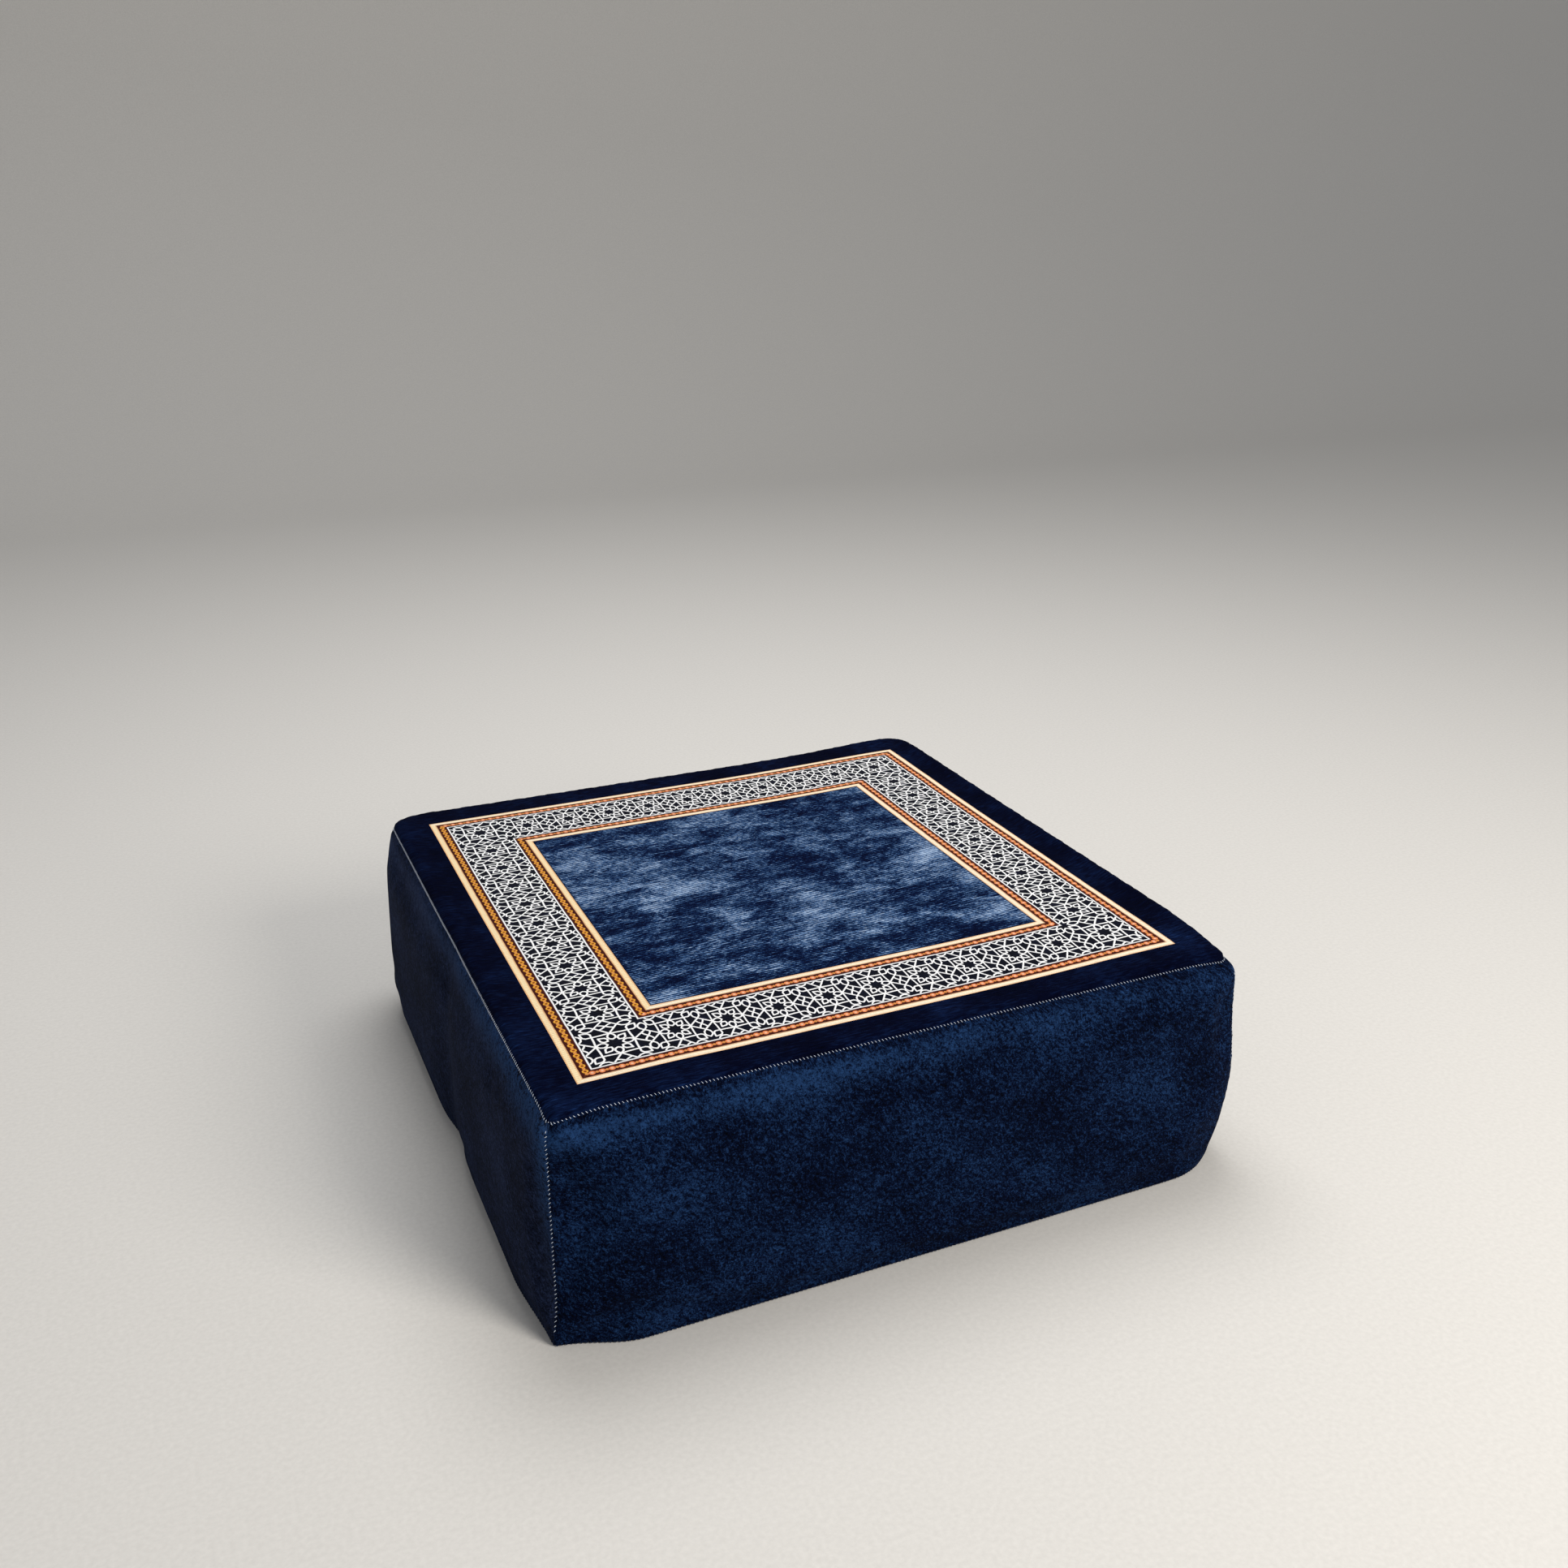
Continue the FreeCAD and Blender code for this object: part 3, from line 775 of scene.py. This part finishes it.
def printed_border():
    """Lattice band between two sets of cream, bead and white stripes."""
    graph = Graph("printed_border", roughness=0.82, sheen=0.02, tint="#d8def0", specular=0.08)
    x, y = graph.cloth()
    shape = graph.vector(x, y)
    wander = (graph.noise(shape, 60, 2) - 0.5) * 0.0011
    reach = graph.math("MAXIMUM", abs(x), abs(y))
    inward = PRINT_HALF - reach
    depth = graph.least(inward, BORDER - inward) + wander
    along = graph.math("MINIMUM", abs(x), abs(y))

    def stripe(low, high):
        starts = graph.step(depth, low - STRIPE_SOFT, low + STRIPE_SOFT)
        return starts * graph.step(depth, high + STRIPE_SOFT, high - STRIPE_SOFT)

    grain = graph.noise(graph.vector(x * 0.35, y), 1500, 2, 0.6)
    blotch = graph.noise(shape, 90, 4, 0.65)
    ground = graph.ramp(blotch, ((0.30, "#01020a"), (0.62, "#04081c"), (0.80, "#0e1634")))
    # lattice
    distance = lattice_distance(graph, x, y) + (grain - 0.5) * 0.006
    line = graph.step(distance, LATTICE_LINE + LINE_SOFT, LATTICE_LINE - LINE_SOFT)
    worn = graph.step(blotch + (grain - 0.5) * 0.5, 0.16, 0.34)
    white = graph.ramp(grain, ((0.26, "#eceef4"), (0.46, "#ffffff")))
    in_band = graph.step(depth, STRIPES, STRIPES + 0.0008)
    base = graph.mix(line * (0.85 + worn * 0.15) * in_band, ground, white)
    # stripes
    maroon = graph.ramp(grain, ((0.30, "#2a0705"), (0.70, "#54170c")))
    base = graph.mix(graph.step(depth, WHITE[0] + 0.0003, WHITE[0] - 0.0003), base, maroon)
    base = graph.mix(stripe(*WHITE), base, white)
    pin = graph.step(abs(depth - CREAM_MIDDLE), 0.0014, 0.0024)
    on_left = graph.math("GREATER_THAN", x * -1, abs(y))
    pale = graph.ramp(grain, ((0.3, "#f6e0b8"), (0.6, "#fff2d8")))
    pale = graph.mix(on_left * 0.5, pale, "#fbd998")
    cream = graph.mix(pin * 0.60, pale, "#dc9250")
    base = graph.mix(stripe(-0.001, CREAM_END), base, cream)
    # beads
    middle = (BEADS[0] + BEADS[1]) / 2
    across = (depth - middle) / BEAD_PITCH
    phase = (along / BEAD_PITCH + 0.5).fold()
    between = (along / BEAD_PITCH).fold()
    bead = graph.length(phase, across) * BEAD_PITCH
    link = graph.length(between, across) * BEAD_PITCH
    base = graph.mix(graph.step(abs(depth - middle), *STRAND) * 0.8, base, "#b8622a")
    base = graph.mix(graph.step(link, *LINK), base, "#e29550")
    base = graph.mix(graph.step(bead, *BEAD), base, graph.mix(on_left, "#ea8a56", "#eda83c"))
    base = graph.mix(graph.step(bead, *BEAD_CORE), base, graph.mix(on_left, "#f6c09c", "#8a3c14"))
    ribs = rib_height(graph, x, y)
    return graph.finish(base, ribs + grain * 0.35 + line * 0.25, 0.0003)


def rib_height(graph, x, y):
    """Fine slightly wavy ribs of the cloth, along X."""
    sway = graph.noise(graph.vector(x * 0.25, y), 70, 2) * 0.004
    return graph.wave(y + sway, RIB_PITCH)


def printed_field():
    """Worn blue middle of the print."""
    graph = Graph("printed_field", roughness=0.88, specular=0.03)
    x, y = graph.cloth()
    shape = graph.vector(x, y)
    patches = graph.noise(shape, 9, 5, 0.62, 0.6)
    clouds = graph.noise(graph.vector(x * 0.45, y), 44, 7, 0.82, 0.5)
    fleck = graph.noise(graph.vector(x * 0.50, y), 420, 5, 0.85)
    ribs = rib_height(graph, x, y)
    tone = patches * 1.00 + clouds * 1.60 - 0.87 + (fleck - 0.5) * 1.35 + (ribs - 0.5) * 0.36
    stops = ((0.28, "#020824"), (0.42, "#081c46"), (0.53, "#20416e"), (0.66, "#5c80ae"), (0.86, "#b8cce6"))
    base = graph.ramp(tone, stops)
    rim = graph.step(FIELD_HALF - graph.math("MAXIMUM", abs(x), abs(y)), 0.0018, 0.0006)
    base = graph.mix(rim * 0.8, base, "#0a0f26")
    return graph.finish(base, ribs + fleck * 0.5, 0.0004)


def margin_velvet():
    """Very dark navy velvet round the print, brushed along X."""
    graph = Graph("margin_velvet", roughness=0.92, sheen=0.01, tint="#5f7fc4", specular=0.02)
    x, y = graph.cloth()
    streak = graph.noise(graph.vector(x * 0.18, y), 520, 4, 0.65)
    patch = graph.noise(graph.vector(x, y), 14, 4, 0.6)
    corner = graph.step(x + y, -0.42, -0.58)
    tone = streak * 0.55 + patch * 0.45 + corner * 0.08
    base = graph.ramp(tone, ((0.34, "#01020c"), (0.50, "#03061c"), (0.62, "#0a1838"), (0.78, "#1d3a70")))
    return graph.finish(base, streak, 0.0006)


def wall_velvet(name, dark, mid, bright, sheen, turned=None):
    """Navy cloth of the walls, short tangled fibres, with a painted sheen band under the top seam; turned
    is the colour of a painted highlight near the top and right end, where the cloth turns towards the
    light.
    """
    graph = Graph(name, roughness=0.9, sheen=sheen, tint="#6f8fcf", specular=0.03)
    along, level = graph.cloth()
    shape = graph.vector(along, level)
    bend = graph.noise(shape, 130, 3, 0.6) * 0.010
    fibre = graph.noise(graph.vector(along + bend, (level - bend) * 0.34), 760, 4, 0.76)
    cross = graph.noise(graph.vector((along - bend) * 0.36, level + bend), 700, 3, 0.74)
    mottle = graph.noise(shape, 95, 6, 0.80, 0.4)
    patch = graph.noise(graph.vector(along, level * 1.3), 11, 3, 0.5)
    # painted sheen: the tone is lifted in a band 1 to 36 mm under the top seam, where the rounded shoulder
    # would catch the light, stronger towards the left end
    below = SEAM_HEIGHT - level
    band = graph.step(below, 0.001, 0.009) * graph.step(below, 0.036, 0.012)
    band = band * (graph.step(along, 0.25, -0.15) * 0.55 + graph.step(along, -0.22, -0.28) * 0.6 + 0.45)
    tone = fibre * 0.72 + cross * 0.58 + mottle * 0.34 + patch * 0.26 - 0.45 + band * 0.085
    base = graph.ramp(tone, ((0.36, dark), (0.50, mid), (0.70, bright)))
    # painted highlight: the lighter fibres take the turned colour near the right end and along the top,
    # where the cloth turns towards the light
    if turned:
        near_corner = graph.step(along, 0.277, 0.295) * graph.step(level, 0.05, 0.17)
        near_top = graph.step(level, 0.166, 0.194) * graph.step(along, -0.20, 0.27) * 0.8
        painted_highlight_mask = graph.math("MAXIMUM", near_corner, near_top)
        base = graph.mix(painted_highlight_mask * graph.step(tone, 0.40, 0.58), base, turned)
    return graph.finish(base, fibre * 0.6 + cross * 0.5 + mottle * 0.4, 0.0008)


def plain_weave(name, dark, light, pitch):
    """Plain woven cloth on the object's own coordinates."""
    graph = Graph(name, roughness=0.9, specular=0.15)
    x, y, z = graph.place()
    turns = 2 * math.pi / pitch
    warp = graph.math("SINE", (x + z) * turns)
    weft = graph.math("SINE", (y - z) * turns)
    weave = warp * weft * 0.5 + 0.5
    slub = graph.noise(graph.vector(x, y, z), 120, 4, 0.6)
    tone = weave * 0.45 + slub * 0.55
    return graph.finish(graph.ramp(tone, ((0.30, dark), (0.72, light))), weave + slub * 0.4, 0.0003)


def fluffy(name, dark, light, scale):
    """Wadding or foam: soft fibres or fine cells."""
    graph = Graph(name, roughness=1.0, sheen=0.1, tint=light, specular=0.1)
    x, y, z = graph.place()
    shape = graph.vector(x, y, z)
    cells = graph.noise(shape, scale, 4, 0.7)
    cloud = graph.noise(shape, scale / 12, 3, 0.5)
    return graph.finish(graph.ramp(cells * 0.6 + cloud * 0.4, ((0.3, dark), (0.7, light))), cells, 0.0012)


def twisted_thread(name, dark, light):
    """Sewing thread: two plies twisted together."""
    graph = Graph(name, roughness=0.6, sheen=0.3, tint=light, specular=0.3)
    x, y, z = graph.place()
    ply = graph.wave(x + y + z, 0.0009)
    fuzz = graph.noise(graph.vector(x, y, z), 900, 2)
    return graph.finish(graph.ramp(ply * 0.6 + fuzz * 0.4, ((0.2, dark), (0.7, light))), ply, 0.0002)


def zip_tape():
    """Herringbone twill of the zip's tape."""
    graph = Graph("zip_tape_twill", roughness=0.8, sheen=0.1, tint="#44506e", specular=0.2)
    x, _, z = graph.place()
    zigzag = (z / 0.003).fold() * 0.0016
    rib = graph.wave(x + zigzag, 0.0008)
    fuzz = graph.noise(graph.vector(x, z), 600, 3)
    base = graph.ramp(rib * 0.7 + fuzz * 0.3, ((0.2, "#070a16"), (0.8, "#1a2440")))
    return graph.finish(base, rib, 0.00015)


def moulded(name, dark, light, roughness, metallic=0.0):
    """Nylon coil or enamelled metal, with fine wear."""
    graph = Graph(name, roughness=roughness, specular=0.5, metallic=metallic)
    x, y, z = graph.place()
    shape = graph.vector(x, y, z)
    wear = graph.noise(shape, 500, 4, 0.7)
    rough = graph.noise(shape, 180, 3) * 0.25 + (roughness - 0.1)
    return graph.finish(graph.ramp(wear, ((0.35, dark), (0.75, light))), wear, 0.00008, rough)


# -------- stitches

RING_SIDES = 6
RINGS = 6


def thread_mesh(name, stitches, radius, rise):
    """One mesh of many short bowed stitches, each a (start, end, outward) of points on the surface."""
    start, end, outward = (np.array(part) for part in zip(*stitches))
    span = end - start
    length = np.linalg.norm(span, axis=1, keepdims=True)
    tangent = span / np.maximum(length, 1e-9)
    side = np.cross(tangent, outward)
    side /= np.maximum(np.linalg.norm(side, axis=1, keepdims=True), 1e-9)
    lift = np.cross(side, tangent)
    points, faces = [], []
    for s in np.linspace(0, 1, RINGS):
        bow = math.sin(math.pi * s)
        thick = radius * (0.45 + 0.55 * bow ** 0.5)
        centre = start + span * s + outward * (radius * 0.2 + rise * bow)
        for turn in range(RING_SIDES):
            angle = 2 * math.pi * turn / RING_SIDES
            points.append(centre + (side * math.cos(angle) + lift * math.sin(angle)) * thick)
    grid = np.stack(points, 1)
    per_stitch = RINGS * RING_SIDES
    for ring in range(RINGS - 1):
        for turn in range(RING_SIDES):
            after = (turn + 1) % RING_SIDES
            low, high = ring * RING_SIDES, (ring + 1) * RING_SIDES
            faces.append((low + turn, low + after, high + after, high + turn))
    faces.append(tuple(range(RING_SIDES))[::-1])
    faces.append(tuple(range(per_stitch - RING_SIDES, per_stitch)))
    every = [tuple(i * per_stitch + v for v in face) for i in range(len(grid)) for face in faces]
    return mesh_object(name, grid.reshape(-1, 3), every)


def resample(line, pitch):
    """Points along a polyline a pitch apart, with the direction at each."""
    gaps = np.linalg.norm(np.diff(line, axis=0), axis=1)
    run = np.concatenate([[0], np.cumsum(gaps)])
    count = max(2, int(run[-1] / pitch))
    stops = (np.arange(count) + 0.5) * run[-1] / count

    def at(where):
        return np.stack([np.interp(where, run, line[:, k]) for k in range(3)], 1)

    tangent = at(stops + pitch / 2) - at(stops - pitch / 2)
    return at(stops), tangent / np.linalg.norm(tangent, axis=1, keepdims=True)


def ladder(line, pitch, reach, slant):
    """Slanted stitches across a seam line, laid on the skin."""
    stitches = []
    for place, tangent in zip(*resample(line, pitch)):
        _, outward = skin.nearest(place)
        across = np.cross(outward, tangent)
        across /= np.linalg.norm(across)
        first, up = skin.nearest(place + across * reach - tangent * slant)
        last, down = skin.nearest(place - across * reach + tangent * slant)
        mean = up + down
        stitches.append((first, last, mean / np.linalg.norm(mean)))
    return stitches


def running(line, pitch, share):
    """Stitches end to end along a line, laid on the skin."""
    stitches = []
    for place, tangent in zip(*resample(line, pitch)):
        first, up = skin.nearest(place - tangent * pitch * share / 2)
        last, _ = skin.nearest(place + tangent * pitch * share / 2)
        stitches.append((first, last, up))
    return stitches


# -------- build the pieces

skin = Skin()
border_material = printed_border()
field_material = printed_field()
front_material = wall_velvet("wall_velvet", "#010207", "#030a22", "#203d68", 0.01)
# the left wall's velvet: a greyer copy of the wall velvet that carries painted shade, coloured as its
# shaded side looks, with a painted highlight near its top and right end
painted_shade_velvet = wall_velvet("wall_velvet_painted_shade", "#05070f", "#151c31", "#2d3a5b", 0.02, "#26426c")
base_material = plain_weave("base_weave", "#080a12", "#1b2030", 0.0016)
PIECES = {
    "top_margin": (margin_velvet(), "printed_velvet", "top_panel"),
    "front_panel": (front_material, "navy_velvet", "front_panel"),
    "right_panel": (front_material, "navy_velvet", "right_panel"),
    "left_panel": (painted_shade_velvet, "navy_velvet", "left_panel"),
    "back_upper": (front_material, "navy_velvet", "back_panel_upper"),
    "back_lower": (front_material, "navy_velvet", "back_panel_lower"),
    "base_panel": (base_material, "base_cloth", "base_panel"),
}


def add_cover_pieces():
    for region in sorted(skin.regions):
        if region == "slot":
            continue
        kind = border_material if "border" in region else field_material
        material, slot, node = PIECES.get(region, (kind, "printed_velvet", "top_panel"))
        piece = skin.piece("cover_" + region, region)
        piece.data.materials.append(material)
        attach(piece, "cushion")
        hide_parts(node)


# slanted stitches: pitch, half their width, half their slant, and the thread's radius and rise
TOP_STITCH = (0.0030, 0.0006, 0.0006, 0.00027, 0.0003)
BASE_STITCH = (0.0036, 0.0014, 0.0006, 0.0004, 0.0004)
CORNER_STITCH = (0.0038, 0.0005, 0.0009, 0.00028, 0.0003)
# straight stitches beside the zip: pitch, share of it sewn, the thread's radius and rise
ZIP_STITCH = (0.0032, 0.78, 0.0003, 0.0002)
ZIP_STITCH_OFF = 0.0085  # from the zip's middle
ZIP_STITCH_END = 0.245


def add_thread(name, stitches, radius, rise, material, slot, node):
    piece = thread_mesh(name, stitches, radius, rise)
    piece.data.materials.append(material)
    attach(piece, "cushion")
    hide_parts(node)


def add_ladder(name, line, stitch, material, slot, node):
    add_thread(name, ladder(line, *stitch[:3]), *stitch[3:], material, slot, node)


def add_stitching():
    pale = twisted_thread("pale_thread", "#a9bcd6", "#eef4ff")
    navy = twisted_thread("navy_thread", "#0a1024", "#26355c")
    rings = {name: np.vstack([skin.rings[name], skin.rings[name][:1]]) for name in ("top", "base")}
    add_ladder("seam_top", rings["top"], TOP_STITCH, pale, "pale_thread", "top_seam_thread")
    add_ladder("seam_base", rings["base"], BASE_STITCH, navy, "navy_thread", "base_seam_thread")
    corners = {"front": "front_left", "right": "front_right", "back": "back_right", "left": "back_left"}
    for side, corner in corners.items():
        line = skin.rings[side]
        line = line[(line[:, 2] > 0.006) & (line[:, 2] < SEAM_HEIGHT - 0.007)]
        add_ladder("seam_" + corner, line, CORNER_STITCH, pale, "pale_thread", "corner_thread_" + corner)
    for name, height in (("upper", ZIP_HEIGHT + ZIP_STITCH_OFF), ("lower", ZIP_HEIGHT - ZIP_STITCH_OFF)):
        line = np.array([(x, ZIP_SKIN, height) for x in np.linspace(-ZIP_STITCH_END, ZIP_STITCH_END, 99)])
        stitches = running(line, *ZIP_STITCH[:2])
        add_thread("seam_zip_" + name, stitches, *ZIP_STITCH[2:], navy, "navy_thread", "zip_thread_" + name)


def dress_cad_nodes():
    """Materials for the CAD parts that stay: the filling and the zip."""
    lining = plain_weave("lining_cotton", "#9b9a93", "#d9d7cf", 0.0012)
    wadding = fluffy("wadding_fibre", "#c9c7c1", "#f3f1ec", 220)
    foam = fluffy("foam_cells", "#b8a878", "#e3d6a8", 700)
    tape = zip_tape()
    coil = moulded("coil_nylon", "#0a0e1c", "#232d4a", 0.45)
    metal = moulded("zip_enamel", "#0c111f", "#2b3550", 0.4, 0.3)
    finishes = {
        "foam": foam, "wadding": wadding, "lining": lining, "zip_tape": tape, "zip_coil": coil,
        "zip_top": metal, "zip_bottom": metal, "zip_slider": metal, "zip_pull": metal,
    }
    for name, node in nodes.items():
        if node.hide_render:
            continue
        for start, material in finishes.items():
            if name.startswith(start):
                node.data.materials.clear()
                node.data.materials.append(material)


# -------- floor, light and camera


SWEEP_FRONT = -8  # the floor's front edge, where it starts to rise behind, its bend and its top
SWEEP_BACK = 3
SWEEP_RADIUS = 1.5
SWEEP_TOP = 6
SWEEP_HALF_WIDTH = 9
FLOOR_DROP = 1e-4


def add_floor():
    """A pale floor that sweeps up behind the cushion."""
    graph = Graph("studio_floor", roughness=0.75, specular=0.2)
    x, y, z = graph.place()
    cloud = graph.noise(graph.vector(x, y, z), 260, 3)
    material = graph.finish(graph.ramp(cloud, ((0.3, "#dedbd6"), (0.7, "#e6e3de"))))
    outline = [(y, -FLOOR_DROP) for y in (SWEEP_FRONT, 0, SWEEP_BACK)]
    turn = [
        (SWEEP_BACK + SWEEP_RADIUS * math.sin(a), SWEEP_RADIUS - SWEEP_RADIUS * math.cos(a))
        for a in np.linspace(0, math.pi / 2, 16)[1:]
    ]
    rows = outline + turn + [(SWEEP_BACK + SWEEP_RADIUS, SWEEP_TOP)]
    points = [(x, y, z) for y, z in rows for x in (-SWEEP_HALF_WIDTH, SWEEP_HALF_WIDTH)]
    faces = [(2 * k, 2 * k + 1, 2 * k + 3, 2 * k + 2) for k in range(len(rows) - 1)]
    floor = mesh_object("studio_sweep", points, faces)
    floor.data.materials.append(material)


LIT_PLACE = (0, 0, 0.1)  # where the lamps point


def add_light(name, place, size, power, tint="#ffffff"):
    lamp = bpy.data.lights.new(name, "AREA")
    lamp.shape = "DISK"
    lamp.size = size
    lamp.energy = power
    lamp.color = colour(tint)[:3]
    obj = bpy.data.objects.new(name, lamp)
    obj.location = place
    obj.rotation_euler = (Vector(LIT_PLACE) - Vector(place)).to_track_quat("-Z", "Y").to_euler()
    bpy.context.scene.collection.objects.link(obj)


def add_lights():
    add_light("key", (1.1, -2.3, 1.6), 1.3, 58, "#fffaf2")
    add_light("top", (0.3, 0.8, 2.4), 1.8, 30)
    world = bpy.data.worlds.new("studio")
    world.use_nodes = True
    background = world.node_tree.nodes["Background"]
    background.inputs["Color"].default_value = colour("#eef1f6")
    background.inputs["Strength"].default_value = 0.34
    bpy.context.scene.world = world
    bpy.context.scene.view_settings.view_transform = "Standard"


LENS = 34.79  # on a 36 mm wide sensor
CAMERA_PLACE = (-0.510, -1.1865, 0.794)
CAMERA_TURN = (68.87, 0, -23.94)


def add_camera():
    """The photo's view, solved from the print and the floor."""
    data = bpy.data.cameras.new("view")
    data.sensor_width = 36
    data.lens = LENS
    camera = bpy.data.objects.new("view", data)
    camera.location = CAMERA_PLACE
    camera.rotation_euler = tuple(math.radians(angle) for angle in CAMERA_TURN)
    bpy.context.scene.collection.objects.link(camera)
    bpy.context.scene.camera = camera


add_cover_pieces()
add_stitching()
dress_cad_nodes()
add_floor()
add_lights()
add_camera()
